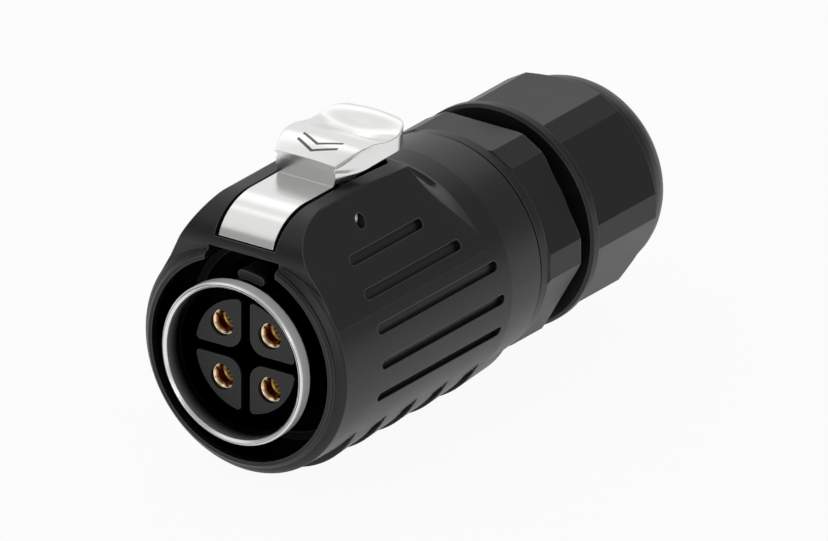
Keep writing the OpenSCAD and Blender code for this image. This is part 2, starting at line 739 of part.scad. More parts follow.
// Side view of the latch plate: curled front and level top
function plate_side() =
    let (c = [latch_y + curl_l, latch_top - curl_h], inner = curl_h - latch_t, rise = curl_foot - c[1])
    concat(oval(c, curl_l, curl_h, 180 - asin(rise / curl_h), 90, brow_steps),
        [[thumb_y + latch_t, latch_top], [thumb_y + latch_t, latch_top - latch_t]],
        oval(c, curl_l - latch_t, inner, 90, 180 - asin(rise / inner), brow_steps));

// Side view of the hook below the plate, with a slope that lets the mating rim push it up
function hook_side() =
    let (top = latch_top - latch_t, rear = hook_y + hook_l, slope = hook_reach / 2)
    [[hook_y, top], [hook_y, hook_z + slope], [hook_y + slope, hook_z], [rear, hook_z], [rear, top]];

// Side view of the stem that carries the thumb pad
function stem_side() =
    let (front = thumb_y + slip, rear = pivot_y + spring_y - coil_r - wire_spring_r)
    [[front, latch_top - latch_t], [front, thumb_under + thumb_t / 2], [rear, thumb_under + thumb_t / 2],
        [rear - coil_r, thumb_under - thumb_lift / 2], [thumb_y + 2 * latch_t, latch_top - latch_t]];

// Rises smoothly from 0 to 1 over a length that begins at a place
function step_up(d, from, l) = ease(max(0, min(1, (d - from) / l)));

// Thumb pad at a distance behind its front: half widths of rim and ledge, then heights
function thumb_half(d) =
    let (s = max(0, d - thumb_l + tip_l) / tip_l)
    thumb_front_w / 2 + (thumb_w - thumb_front_w) / 2 * sin(90 * min(1, d / flare_l))
        - tip_in * (1 - sqrt(max(0, 1 - s * s)));
function ledge_half(d) = thumb_half(d) - ledge_step;
function rim_z(d) = thumb_front_top + thumb_crest * sin(90 * min(1, d / crest_l))
    - thumb_fall * step_up(d, flare_l, thumb_crease - flare_l)
    + tip_lift * step_up(d, thumb_l - tip_l, tip_l);
function ledge_z(d) = thumb_under
    + ledge_rise * (pow(max(0, 1 - d / flare_l), 2) + step_up(d, thumb_crease, thumb_l - thumb_crease));
function hull_z(d) = ledge_z(d) - hull_tip - hull_h * pow(1 - d / thumb_l, hull_taper);
// The crown sinks to the crease from both sides
function thumb_dip(d) = thumb_dish * pow(d < thumb_crease
    ? max(0, (d - crest_l) / (thumb_crease - crest_l))
    : (thumb_l - d) / (thumb_l - thumb_crease), 2);

// Right side of the pad's section: hollow wall down to the ledge, rounded underside below it
function thumb_wall(d) =
    let (h = thumb_half(d), f = ledge_half(d), base = min(latch_half, f - hull_lip), top = rim_z(d),
        ledge = ledge_z(d), hull = hull_z(d))
    concat([for (i = [1:wall_steps]) let (s = 1 - i / wall_steps)
            [f + (h - f) * s - 4 * thumb_hollow * s * (1 - s), ledge + (top - ledge) * s]],
        [for (i = [1:wall_steps]) let (a = 90 * i / wall_steps)
            [base + (f - base) * cos(a), ledge + (hull - ledge) * sin(a)]]);

// Section of the pad: creased top, then the walls of both sides
function thumb_section(d) =
    let (h = thumb_half(d), wall = thumb_wall(d), y = thumb_y + d)
    concat([for (i = [0:top_steps]) let (q = 2 * i / top_steps - 1)
            [q * h, y, rim_z(d) + (thumb_crown - thumb_dip(d)) * (1 - q * q)]],
        [for (p = wall) [p[0], y, p[1]]],
        [for (p = mirrored(wall)) [p[0], y, p[1]]]);

// Skin over a row of equal closed sections
module loft(sections) {
    n = len(sections[0]);
    last = len(sections) - 1;
    points = [for (s = sections) for (p = s) p];
    sides = [for (k = [0:last - 1]) for (i = [0:n - 1])
        let (j = (i + 1) % n, a = k * n + i, b = k * n + j, c = b + n, d = a + n)
        each [[a, c, b], [a, d, c]]];
    polyhedron(points, concat(sides, [[for (i = [0:n - 1]) i]], [[for (i = [n - 1:-1:0]) last * n + i]]));
}

// Sections from the front to the crease and, closer together, on to the tip
module thumb_pad() {
    steps = 12;
    rear = thumb_l - thumb_crease;
    loft(concat([for (k = [0:steps]) thumb_section(thumb_crease * k / steps)],
        [for (k = [1:steps]) thumb_section(thumb_crease + rear * sin(90 * k / steps))]));
}

// Plate, stem, thumb pad, hook and pin boss of the latch
module latch_blank() {
    boss_web = boss_r - edge_r;
    across(plate_side(), latch_w);
    across(stem_side(), latch_w);
    thumb_pad();
    across(hook_side(), latch_w);
    block([-latch_half, pivot_y - boss_web, pivot_z],
        [latch_half, pivot_y + boss_web, latch_top - latch_t / 2]);
    translate([-latch_half, pivot_y, pivot_z]) rotate([0, 90, 0]) cylinder(r = boss_r, h = latch_w);
}

// The return spring sits in a pocket under the thumb pad, on a peg that centres it
module latch() {
    pocket_r = coil_r + wire_spring_r + pocket_room;
    color("#d8d8d6") union() {
        difference() {
            latch_blank();
            translate([-latch_w, pivot_y, pivot_z]) rotate([0, 90, 0])
                cylinder(r = pin_r + pin_play, h = 2 * latch_w);
            translate([0, pivot_y + spring_y, latch_top - latch_t])
                cylinder(r = pocket_r, h = latch_t + thumb_lift);
        }
        translate([0, pivot_y + spring_y, thumb_under - peg_h]) cylinder(r = peg_r, h = peg_h + thumb_t / 2);
    }
}

module latch_pin() {
    flank_x = (flank_r - pivot_z * flank_out[1]) / flank_out[0];
    half = flank_x - pin_sink;
    color("#c9c9c7") translate([-half, pivot_y, pivot_z]) rotate([0, 90, 0])
        cylinder(r = pin_r - slip / 5, h = 2 * half);
}

// Coil of the return spring between the channel's floor and the thumb pad
module latch_spring() {
    sides = 6;
    steps_per_turn = 16;
    low = floor_z + wire_spring_r + slip;
    rise = spring_top - wire_spring_r - low;
    steps = coil_turns * steps_per_turn;
    color("#a9a9a7") translate([0, pivot_y + spring_y, 0]) loft([for (k = [0:steps])
        let (a = 360 * k / steps_per_turn, z = low + rise * k / steps)
        [for (i = [0:sides - 1]) let (b = -360 * i / sides, r = coil_r + wire_spring_r * cos(b))
            [r * cos(a), r * sin(a), z + wire_spring_r * sin(b)]]]);
}

module rear_body() {
    front = shell_length - spigot_l;
    ring_y = shell_length - ring_inset;
    groove_r = spigot_r - ring_groove;
    groove_half = ring_cord_r + slip;
    apothem = hex_corner_r * cos(30 - corner_cut);
    color("#29292a") difference() {
        union() {
            turned([[0, front], [spigot_r, front], [spigot_r, ring_y - groove_half],
                [groove_r, ring_y - groove_half], [groove_r, ring_y + groove_half],
                [spigot_r, ring_y + groove_half], [spigot_r, shell_length], [collar_r - edge_r, shell_length],
                [collar_r, shell_length + edge_r], [collar_r, collar_y - edge_r],
                [apothem, collar_y + edge_r], [0, collar_y + edge_r]]);
            intersection() {
                along(hex_outline(hex_corner_r, corner_cut), shell_length + collar_l / 2, hex_end_y);
                turned([[0, shell_length], [collar_r - edge_r, shell_length + collar_l / 2],
                    [hex_corner_r + edge_r, collar_y + edge_r], [hex_corner_r + edge_r, hex_end_y - edge_r],
                    [hex_corner_r - edge_r, hex_end_y], [0, hex_end_y]]);
            }
            rod(thread_r - thread_h, hex_end_y - past, thread_end_y);
        }
        rod(chamber_r, front - past, hex_end_y);
        rod(seat_r - seat_w, hex_end_y - past, thread_end_y);
        rod(seat_r, seat_y, thread_end_y + past);
    }
}

module sealing_ring() {
    color("#1b1b1b") translate([0, shell_length - ring_inset, 0]) rotate([-90, 0, 0]) rotate_extrude()
        translate([spigot_r - ring_cord_r + slip / 2, 0]) circle(ring_cord_r, $fn = 32);
}

module cable_clamp() {
    color("#303031") difference() {
        turned([[claw_bore_r, seat_y], [claw_r, seat_y], [claw_r, thread_end_y - claw_wall / 2],
            [claw_r - claw_wall / 2, thread_end_y], [claw_bore_r, thread_end_y]]);
        for (i = [0:claw_slits - 1]) rotate([0, 360 * i / claw_slits, 0])
            block([0, seat_y + claw_ring_l, -slit_w / 2], [body_r, thread_end_y + past, slit_w / 2]);
    }
}

module cable_grommet() {
    outer = claw_bore_r - slip;
    color("#1c1c1c") turned([[cable_r, seat_y], [outer, seat_y], [outer, thread_end_y - edge_r],
        [outer - edge_r, thread_end_y], [cable_r, thread_end_y]]);
}

module thrust_washer() {
    color("#bdbdbb") difference() {
        rod(washer_r, washer_y, nut_stop_y);
        rod(cable_hole_r + slip, washer_y - past, nut_stop_y + past);
    }
}

module gland_nut() {
    hex_y = nut_y + nut_flange_l + nut_slope_l;
    dome_y = nut_end_y - nut_dome_l;
    apothem = nut_corner_r * cos(30 - corner_cut);
    dome_r = apothem - 2 * slip;
    chamfer = nut_corner_r - apothem + edge_r;
    dome = oval([nut_rim_r, dome_y], dome_r - nut_rim_r, nut_dome_l, 0, 90, quarter_steps);
    color("#29292a") difference() {
        union() {
            turned([[0, nut_y], [nut_flange_r - edge_r, nut_y], [nut_flange_r, nut_y + edge_r],
                [nut_flange_r, nut_y + nut_flange_l], [apothem, hex_y], [0, hex_y]]);
            intersection() {
                along(hex_outline(nut_corner_r, corner_cut), nut_y + nut_flange_l / 2, dome_y + slip);
                turned([[0, nut_y], [apothem + chamfer, nut_y], [apothem + chamfer, dome_y - chamfer],
                    [apothem - slip, dome_y + slip], [0, dome_y + slip]]);
            }
            turned(concat([[0, dome_y - past], [dome_r, dome_y - past]], dome, [[0, nut_end_y]]));
        }
        rod(thread_r + thread_play, nut_y - past, nut_stop_y);
        rod(cable_hole_r, nut_stop_y - past, nut_end_y + past);
    }
}

shell();
coupling_sleeve();
face_seal();
insulator();
insulator_retainer();
for (i = [0:3]) socket_contact(i);
for (i = [0:3]) crown_spring(i);
terminal_screws();
latch();
latch_pin();
latch_spring();
rear_body();
sealing_ring();
cable_clamp();
cable_grommet();
thrust_washer();
gland_nut();
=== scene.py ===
"""Dresses a latching circular cable plug: moulded black shell, bright latch and sleeve, gilt contacts."""
import functools
import json
import math

import bmesh
import bpy
from bpy.props import FloatProperty, FloatVectorProperty, IntProperty, PointerProperty
from bpy.types import Operator, Panel, PropertyGroup
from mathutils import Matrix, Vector


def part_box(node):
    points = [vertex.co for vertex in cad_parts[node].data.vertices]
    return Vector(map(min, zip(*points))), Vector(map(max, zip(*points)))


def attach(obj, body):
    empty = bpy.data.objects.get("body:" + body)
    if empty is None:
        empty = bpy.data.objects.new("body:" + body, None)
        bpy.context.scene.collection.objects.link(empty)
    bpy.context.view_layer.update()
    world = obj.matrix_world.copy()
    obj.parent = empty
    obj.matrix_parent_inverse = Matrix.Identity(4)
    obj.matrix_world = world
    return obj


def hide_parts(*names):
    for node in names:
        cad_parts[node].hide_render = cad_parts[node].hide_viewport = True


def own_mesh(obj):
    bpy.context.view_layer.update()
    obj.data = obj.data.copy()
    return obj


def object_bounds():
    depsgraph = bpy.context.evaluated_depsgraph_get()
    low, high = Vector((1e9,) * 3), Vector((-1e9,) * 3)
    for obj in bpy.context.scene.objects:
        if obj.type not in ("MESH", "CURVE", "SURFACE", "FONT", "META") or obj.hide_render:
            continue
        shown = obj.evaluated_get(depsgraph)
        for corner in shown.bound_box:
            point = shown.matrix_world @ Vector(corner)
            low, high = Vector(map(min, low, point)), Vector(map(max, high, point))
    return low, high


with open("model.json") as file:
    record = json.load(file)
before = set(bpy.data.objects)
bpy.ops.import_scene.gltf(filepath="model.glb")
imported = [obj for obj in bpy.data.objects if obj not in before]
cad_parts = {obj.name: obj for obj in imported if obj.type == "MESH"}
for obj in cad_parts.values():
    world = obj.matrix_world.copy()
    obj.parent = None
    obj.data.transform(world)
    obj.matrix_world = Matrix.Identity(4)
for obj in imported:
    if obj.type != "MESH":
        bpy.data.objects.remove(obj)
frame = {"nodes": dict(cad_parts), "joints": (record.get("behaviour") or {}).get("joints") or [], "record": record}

bl_info = {
    "name": "Cable Plug Dresser",
    "version": (1, 1, 0),
    "blender": (4, 5, 0),
    "location": "View3D > Sidebar > Cable Plug",
    "description": "Finishes, fine metalwork and studio for a latching circular cable plug",
    "category": "Object",
}

CAD_BOX = [list(corner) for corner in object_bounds()]
MM = 0.001
REAR_MOULDINGS = ("rear_body", "gland_nut")
INSULATING = ("insulator", "insulator_retainer", "cable_clamp")
RUBBER = ("face_seal", "sealing_ring", "cable_grommet")
BRIGHT_STEEL = ("terminal_screws", "thrust_washer")
CONTACTS = tuple(f"socket_contact_{i}" for i in range(1, 5))
CROWNS = tuple(f"crown_spring_{i}" for i in range(1, 5))

# Each lamp's name, width, height, power, and place from the point that the view is set from
SOFTBOXES = (
    ("rear softbox", 1.7, 1.1, 3.0, (-0.66, 0.78, 0.52)),
    ("top softbox", 0.6, 0.6, 0.5, (-0.55, 0.3, 0.85)),
    ("left softbox", 0.9, 0.7, 1.0, (-0.62, -0.34, 0.85)),
    ("front softbox", 0.7, 0.5, 1.6, (0.45, -0.95, 0.28)))
# Places on the axis far in front of the plug and far behind it
FAR_FRONT, FAR_REAR = -1.0, 1.0
ROUND_STEPS = 48
BEVEL_SAMPLES = 6
REFRACTION = 1.45


def length(name, description, millimetres):
    """A setting that is a length, given in millimetres."""
    return FloatProperty(name=name, description=description, unit="LENGTH", default=millimetres * MM)


def colour(name, description, red, green, blue):
    """A setting that is an opaque colour."""
    return FloatVectorProperty(
        name=name, description=description, subtype="COLOR", size=4, min=0, max=1,
        default=(red, green, blue, 1))


def share(name, description, value):
    """A setting that is a plain number."""
    return FloatProperty(name=name, description=description, default=value)


def angle(name, description, radians):
    """A setting that is an angle."""
    return FloatProperty(name=name, description=description, subtype="ANGLE", default=radians)


def count(name, description, value):
    """A setting that is a whole number."""
    return IntProperty(name=name, description=description, default=value)


class PlugFinish(PropertyGroup):
    """Colours and textures of the plug's materials."""

    shell_colour: colour("Shell", "Colour of the black mouldings", 0.0065, 0.0065, 0.0068)
    insulator_colour: colour("Insulator", "Colour of the contact insulator", 0.02, 0.02, 0.0203)
    # This colour is the painted highlight laid on the mouldings' edges.
    edge_highlight_colour: colour("Edge highlight", "Colour of the mouldings' rubbed edges", 0.11, 0.11, 0.11)
    rubber_colour: colour("Rubber", "Colour of the seals and the grommet", 0.006, 0.006, 0.006)
    plate_colour: colour("Plating", "Colour of the bright plating on the latch", 0.86, 0.86, 0.85)
    satin_colour: colour("Satin", "Colour of the satin sleeve and the pin", 0.97, 0.97, 0.96)
    # This colour is painted shade in the shell's socket, the insulator's gaps, the seam and inside the sleeve.
    painted_shade_colour: colour("Painted shade", "Colour of the black lining in the mouth", 0.004, 0.004, 0.004)
    steel_colour: colour("Steel", "Colour of the spring, the screws and the washer", 0.60, 0.60, 0.59)
    cut_colour: colour("Cut", "Colour of cut lines in bright metal", 0.12, 0.12, 0.12)
    gilt_colour: colour("Gilt", "Colour of the contacts' rims", 1.0, 0.84, 0.58)
    # This colour is painted shade deep in the contacts' mouths.
    mouth_shade_colour: colour("Mouth shade", "Colour inside the contacts' mouths", 0.34, 0.09, 0.022)
    crown_colour: colour("Crown", "Colour of the contacts' crown springs", 1.0, 0.75, 0.30)
    grain_size: length("Grain", "Size of the moulded grain", 0.09)
    satin_grain: length("Satin grain", "Size of the grain of bright metal", 0.05)
    edge_round: length("Edge rounding", "Rounding of the mouldings' edges", 0.22)
    # The reach of the painted shade in the mouldings' hollows.
    hollow_reach: length("Hollow reach", "Width of the hollows that lie dark", 0.7)
    # The seam's dark is a painted shadow of the gap between the shell and the rear body.
    seam: length("Seam", "Width of the dark seam between the shell and the rear body", 0.6)


class PlugMouth(PropertyGroup):
    """Where the painted shade and the other tones in the plug's mouth start. Places are along the axis from the
    shell's front.
    """

    # The socket and the insulator's gaps lie dark by painted shade.
    socket_radius: length("Socket", "Radius inside which the shell's socket lies dark", 15.1)
    socket_start: length("Socket start", "Place where the socket's dark starts", 1.0)
    gap_radius: length("Gaps", "Radius inside which the insulator's gaps lie dark", 15.0)
    gap_start: length("Gap start", "Place where the dark of the gaps starts", 1.5)
    outside_radius: length("Sleeve outside", "Radius where the sleeve's paler outside starts", 11.88)
    # Inside the sleeve, and on its outside behind the lip, the dark is painted shade.
    sleeve_shade_radius: length("Painted shade", "Radius inside which the sleeve is lined", 11.6)
    sleeve_shade_start: length("Sleeve shade start", "Place where the lining starts to fade in", -1.2)
    sleeve_shade_fade: length("Sleeve shade fade", "Length over which the lining fades in", 2.2)
    outside_end: length("Outside end", "Place where the sleeve's outside turns dark", 0.4)
    line_radius: length("Line", "Radius of the fine line on the sleeve's lip", 11.66)
    line_half: length("Line half width", "Half of the fine line's width", 0.05)
    # Behind a contact's rim, its mouth darkens by painted shade.
    contact_rim: length("Contact rim", "Radius where a contact's pale rim ends", 1.58)
    contact_fade: length("Contact fade", "Width over which a contact's mouth darkens", 0.12)


class PlugLatch(PropertyGroup):
    """Sizes of the thumb latch. Places are along the plug's axis and heights are above it."""

    half_width: length("Half width", "Half of the plate's width", 4.6)
    thickness: length("Thickness", "Thickness of the plate", 1.4)
    top: length("Top", "Height of the plate's level top", 21.75)
    curl_front: length("Curl front", "Place of the curl's front", 1.2)
    curl_length: length("Curl length", "Length of the curl", 8.2)
    curl_height: length("Curl height", "Height of the curl", 6)
    curl_foot: length("Curl foot", "Height of the curl's foot", 17.25)
    hook_front: length("Hook front", "Place of the hook's front", 4.95)
    hook_length: length("Hook length", "Length of the hook", 1.4)
    hook_slope: length("Hook slope", "Size of the slope at the hook's tip", 0.5)
    boss_radius: length("Boss", "Radius of the boss round the pin", 1.8)
    pin_hole: length("Pin hole", "Radius of the pin's hole", 1.06)
    spring_place: length("Spring", "Place of the return spring", 24)
    pocket_radius: length("Pocket", "Radius of the spring's pocket under the pad", 3.2)
    edge: length("Edge", "Chamfer of the latch's edges", 0.15)


class PlugThumbPad(PropertyGroup):
    """Sizes of the latch's thumb pad. Distances are counted from the pad's front."""

    front: length("Front", "Place of the pad's front face", 15.8)
    length: length("Length", "Length of the pad", 16.4)
    ledge: length("Ledge", "Height of the ledge round the pad", 23.15)
    ledge_rise: length("Ledge rise", "Rise of the ledge towards the front", 0.7)
    front_top: length("Front top", "Height of the pad's front edge", 24.85)
    crest: length("Crest", "Rise of the crest above the front edge", 1.5)
    crest_place: length("Crest place", "Distance of the crest", 5.25)
    fall: length("Fall", "Fall of the rim behind the crest", 0.8)
    crease: length("Crease", "Distance of the crease across the top", 10.9)
    dish: length("Dish", "Depth of the crease below the rim", 1)
    tip_lift: length("Tip lift", "Rise of the tip", 0.9)
    tip_length: length("Tip length", "Length over which the tip rises and narrows", 4.4)
    tip_in: length("Tip in", "How much narrower the tip is on each side", 3.2)
    crown: length("Crown", "Crown across the top", 0.2)
    hollow: length("Hollow", "Hollow of the sides at the front", 0.34)
    front_half: length("Front half width", "Half of the width at the front edge", 5.2)
    half: length("Half width", "Half of the greatest width", 6.8)
    flare: length("Flare", "Length over which the pad widens", 5.9)
    ledge_step: length("Ledge step", "Step from the rim in to the ledge", 0.15)
    hull: length("Hull", "Height of the rounded underside at the front", 2.0)
    hull_tip: length("Hull tip", "Height of the rounded underside at the tip", 0.12)
    hull_taper: share("Hull taper", "How fast the underside thins towards the tip", 2.5)
    mark_start: length("Mark start", "Distance of the chevrons", 1.1)
    rows: count("Rows", "Sections along each half of the pad", 44)


class PlugSmallMetal(PropertyGroup):
    """Sizes of the return spring, the crown springs and the gland thread."""

    wire_radius: length("Wire", "Radius of the return spring's wire", 0.3)
    turns: count("Turns", "Turns of the return spring", 6)
    slats: count("Slats", "Slats of a crown spring", 14)
    slat_thickness: length("Slat", "Thickness of a crown spring's slats", 0.1)
    slat_share: share("Slat width", "Half of a slat's width, as a share of the slats' pitch", 0.33)
    slat_twist: angle("Slat twist", "How far a slat turns from end to end", 0.5)
    band_share: share("Band", "Width of a crown spring's end bands, as a share of its length", 0.05)
    waist: length("Waist", "How far a crown spring bends in", 0.3)
    thread_root: length("Thread root", "Radius of the gland thread's root", 12.55)
    thread_crest: length("Thread crest", "Radius of the gland thread's crest", 13)
    thread_start: length("Thread start", "Place where the gland thread starts", 58.9)


class PlugStage(PropertyGroup):
    """Camera and studio."""

    azimuth: angle("Azimuth", "Camera angle round the plug", math.radians(35.54))
    elevation: angle("Elevation", "Camera angle above the floor", math.radians(23.51))
    distance: length("Distance", "Distance of the camera", 600)
    view_width: length("View width", "Width of the view", 114.77)
    aim_along: length("Aim along", "Place on the axis that the view is set from", 34)
    aim_right: length("Aim right", "Shift of the view's middle to the right", 4.43)
    aim_up: length("Aim up", "Shift of the view's middle upwards", 1.38)
    sky: share("Sky", "Strength of the even studio light", 0.38)
    floor_seen: share("Floor seen", "How white the camera sees the floor", 0.94)
    floor_mirrored: share("Floor mirrored", "How white metal mirrors the floor", 0.75)


class PlugSettings(PropertyGroup):
    """All settings of the add-on."""

    finish: PointerProperty(type=PlugFinish)
    mouth: PointerProperty(type=PlugMouth)
    latch: PointerProperty(type=PlugLatch)
    pad: PointerProperty(type=PlugThumbPad)
    small: PointerProperty(type=PlugSmallMetal)
    stage: PointerProperty(type=PlugStage)


def settings():
    """The add-on's settings on the scene."""
    return bpy.context.scene.cable_plug


def joint(name):
    """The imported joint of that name."""
    return next(j for j in frame["joints"] if j["name"] == name)


def shared_group(name, inputs, outputs):
    """Turns a function that wires a node group into one that builds it once and then hands it out."""
    def decorate(wire):
        @functools.wraps(wire)
        def group():
            tree = bpy.data.node_groups.get(name)
            if tree is None:
                tree = bpy.data.node_groups.new(name, "ShaderNodeTree")
                for label, default in inputs.items():
                    socket = tree.interface.new_socket(
                        label, in_out="INPUT", socket_type="NodeSocketFloat")
                    socket.default_value = default
                for label in outputs:
                    tree.interface.new_socket(label, in_out="OUTPUT", socket_type="NodeSocketFloat")
                given = tree.nodes.new("NodeGroupInput").outputs
                wire(tree, given, tree.nodes.new("NodeGroupOutput").inputs)
            return tree
        return group
    return decorate


def maths(tree, operation, *operands):
    """A maths node on sockets and numbers, and its result."""
    node = tree.nodes.new("ShaderNodeMath")
    node.operation = operation
    for socket, value in zip(node.inputs, operands):
        if isinstance(value, (int, float)):
            socket.default_value = value
        else:
            tree.links.new(value, socket)
    return node.outputs[0]


def clamped(tree, value):
    """A value held between 0 and 1."""
    return maths(tree, "MINIMUM", maths(tree, "MAXIMUM", value, 0), 1)


def distance(tree, across, up):
    """Distance from the point that two coordinates are counted from."""
    return maths(tree, "SQRT", maths(tree, "MULTIPLY_ADD", across, across, maths(tree, "MULTIPLY", up, up)))


def object_axes(tree):
    """The three object coordinates of a surface point, by name."""
    place = tree.nodes.new("ShaderNodeTexCoord")
    parts = tree.nodes.new("ShaderNodeSeparateXYZ")
    tree.links.new(place.outputs["Object"], parts.inputs[0])
    return parts.outputs


@shared_group("Moulded grain", {"Grain size": 0.1 * MM, "Roughness": 0.45, "Spread": 0.05},
              ("Height", "Roughness", "Mottle"))
def moulded_grain(tree, given, out):
    """Fine spark-eroded grain of a moulding: a height, and a roughness that wanders a little."""
    nodes, links = tree.nodes, tree.links
    place = nodes.new("ShaderNodeTexCoord")
    fine, broad = nodes.new("ShaderNodeTexNoise"), nodes.new("ShaderNodeTexNoise")
    fine.inputs["Detail"].default_value = 2
    broad.inputs["Detail"].default_value = 3
    broad.inputs["Scale"].default_value = 160
    for noise in (fine, broad):
        links.new(place.outputs["Object"], noise.inputs["Vector"])
    links.new(maths(tree, "DIVIDE", 1, given["Grain size"]), fine.inputs["Scale"])
    wander = maths(tree, "MULTIPLY_ADD", broad.outputs["Fac"], given["Spread"], given["Roughness"])
    links.new(fine.outputs["Fac"], out["Height"])
    links.new(wander, out["Roughness"])
    links.new(broad.outputs["Fac"], out["Mottle"])


@shared_group("Turned line", {"Radius": 11.7 * MM, "Half width": 0.05 * MM}, ("Mask",))
def turned_line(tree, given, out):
    """A fine line turned round the plug's axis on a front face, as a mask."""
    axes = object_axes(tree)
    radius = distance(tree, axes["X"], axes["Z"])
    away = maths(tree, "ABSOLUTE", maths(tree, "SUBTRACT", radius, given["Radius"]))
    tree.links.new(maths(tree, "LESS_THAN", away, given["Half width"]), out["Mask"])


@shared_group("Edges and hollows", {"Edge radius": 0.2 * MM, "Hollow reach": 1.2 * MM}, ("Edge", "Hollow"))
def edges_and_hollows(tree, given, out):
    """Two masks of a moulding for painted light: its edges, where a highlight is painted, and its hollows where
    little light comes in, where shade is painted.
    """
    edge_gain, hollow_gain, edge_loss = 12, 0.9, -2.2
    nodes, links = tree.nodes, tree.links
    bevel = nodes.new("ShaderNodeBevel")
    bevel.samples = BEVEL_SAMPLES
    links.new(given["Edge radius"], bevel.inputs["Radius"])
    plain = nodes.new("ShaderNodeNewGeometry")
    turned = nodes.new("ShaderNodeVectorMath")
    turned.operation = "DOT_PRODUCT"
    links.new(bevel.outputs["Normal"], turned.inputs[0])
    links.new(plain.outputs["Normal"], turned.inputs[1])
    bent = maths(tree, "SUBTRACT", 1, turned.outputs["Value"])
    sky = nodes.new("ShaderNodeAmbientOcclusion")
    sky.samples = 8
    sky.only_local = True
    links.new(given["Hollow reach"], sky.inputs["Distance"])
    hollow = maths(tree, "SUBTRACT", 1, sky.outputs["AO"])
    open_part = maths(tree, "MAXIMUM", maths(tree, "MULTIPLY_ADD", hollow, edge_loss, 1), 0)
    painted_highlight = maths(tree, "MINIMUM", maths(tree, "MULTIPLY", bent, edge_gain), 1)
    links.new(maths(tree, "MULTIPLY", painted_highlight, open_part), out["Edge"])
    links.new(maths(tree, "MINIMUM", maths(tree, "MULTIPLY", hollow, hollow_gain), 1), out["Hollow"])


@shared_group("Engraved chevrons", {"Start": 0.0, "Pitch": 1.4 * MM, "Half width": 3.4 * MM, "Floor": 0.0},
              ("Mask",))
def engraved_chevrons(tree, given, out):
    """Two arrow-shaped strokes across the thumb pad, as a mask."""
    lean, stroke_share, strokes = 0.45, 0.34, 2
    axes = object_axes(tree)
    side = maths(tree, "ABSOLUTE", axes["X"])
    back = maths(tree, "SUBTRACT", axes["Y"], given["Start"])
    along = maths(tree, "DIVIDE", maths(tree, "MULTIPLY_ADD", side, -lean, back), given["Pitch"])
    mask = maths(tree, "LESS_THAN", maths(tree, "FRACT", along), stroke_share)
    for limit in (maths(tree, "GREATER_THAN", along, 0),
                  maths(tree, "LESS_THAN", along, strokes),
                  maths(tree, "LESS_THAN", side, given["Half width"]),
                  maths(tree, "GREATER_THAN", axes["Z"], given["Floor"])):
        mask = maths(tree, "MULTIPLY", mask, limit)
    tree.links.new(mask, out["Mask"])


@shared_group("Mouth depth", {"Radius": 11.6 * MM, "Inner start": 0.0, "Outer start": 0.0, "Fade": 0.5 * MM},
              ("Mask",))
def mouth_depth(tree, given, out):
    """A mask of what lies deep in the plug's mouth: it fades in inside a radius and is sharp outside it."""
    axes = object_axes(tree)
    inside = maths(tree, "LESS_THAN", distance(tree, axes["X"], axes["Z"]), given["Radius"])
    depth = maths(tree, "DIVIDE", maths(tree, "SUBTRACT", axes["Y"], given["Inner start"]), given["Fade"])
    inner = maths(tree, "MULTIPLY", inside, clamped(tree, depth))
    outer = maths(tree, "MULTIPLY", maths(tree, "SUBTRACT", 1, inside),
                  maths(tree, "GREATER_THAN", axes["Y"], given["Outer start"]))
    tree.links.new(maths(tree, "ADD", inner, outer), out["Mask"])


@shared_group("Contact mouths", {"Offset": 4.0 * MM, "Rim": 1.6 * MM, "Fade": 0.1 * MM}, ("Mask",))
def contact_mouths(tree, given, out):
    """The inside of the contacts' mouths, where painted shade fades in behind their rims, as a mask."""
    axes = object_axes(tree)
    across, up = (maths(tree, "SUBTRACT", maths(tree, "ABSOLUTE", axes[name]), given["Offset"])
                  for name in "XZ")
    depth = maths(tree, "SUBTRACT", given["Rim"], distance(tree, across, up))
    tree.links.new(clamped(tree, maths(tree, "DIVIDE", depth, given["Fade"])), out["Mask"])


@shared_group("Seam", {"Place": 0.0, "Half width": 0.1 * MM}, ("Mask",))
def seam_line(tree, given, out):
    """The shadowed seam where two mouldings meet along the plug's axis, as a mask."""
    away = maths(tree, "ABSOLUTE", maths(tree, "SUBTRACT", object_axes(tree)["Y"], given["Place"]))
    tree.links.new(maths(tree, "LESS_THAN", away, given["Half width"]), out["Mask"])


def principled(material):
    """The inputs of a material's Principled shader."""
    return material.node_tree.nodes["Principled BSDF"].inputs


def new_material(name, metallic):
    """A material, and the inputs of its Principled shader."""
    material = bpy.data.materials.new(name)
    material.use_nodes = True
    surface = principled(material)
    surface["Metallic"].default_value = metallic
    surface["IOR"].default_value = REFRACTION
    return material, surface


def group_node(material, tree, **values):
    """The outputs of a node group placed in a material, with its own values."""
    node = material.node_tree.nodes.new("ShaderNodeGroup")
    node.node_tree = tree
    for label, value in values.items():
        node.inputs[label.replace("_", " ")].default_value = value
    return node.outputs


def tinted(tone, factor):
    """A colour made darker or lighter."""
    return [c * factor for c in tone[:3]] + [1]


def colour_mix(tree, factor, low, high):
    """A colour between a colour or a socket and another colour, by a factor."""
    mix = tree.nodes.new("ShaderNodeMix")
    mix.data_type = "RGBA"
    if isinstance(low, bpy.types.NodeSocket):
        tree.links.new(low, mix.inputs["A"])
    else:
        mix.inputs["A"].default_value = low
    mix.inputs["B"].default_value = high
    tree.links.new(factor, mix.inputs["Factor"])
    return mix.outputs["Result"]


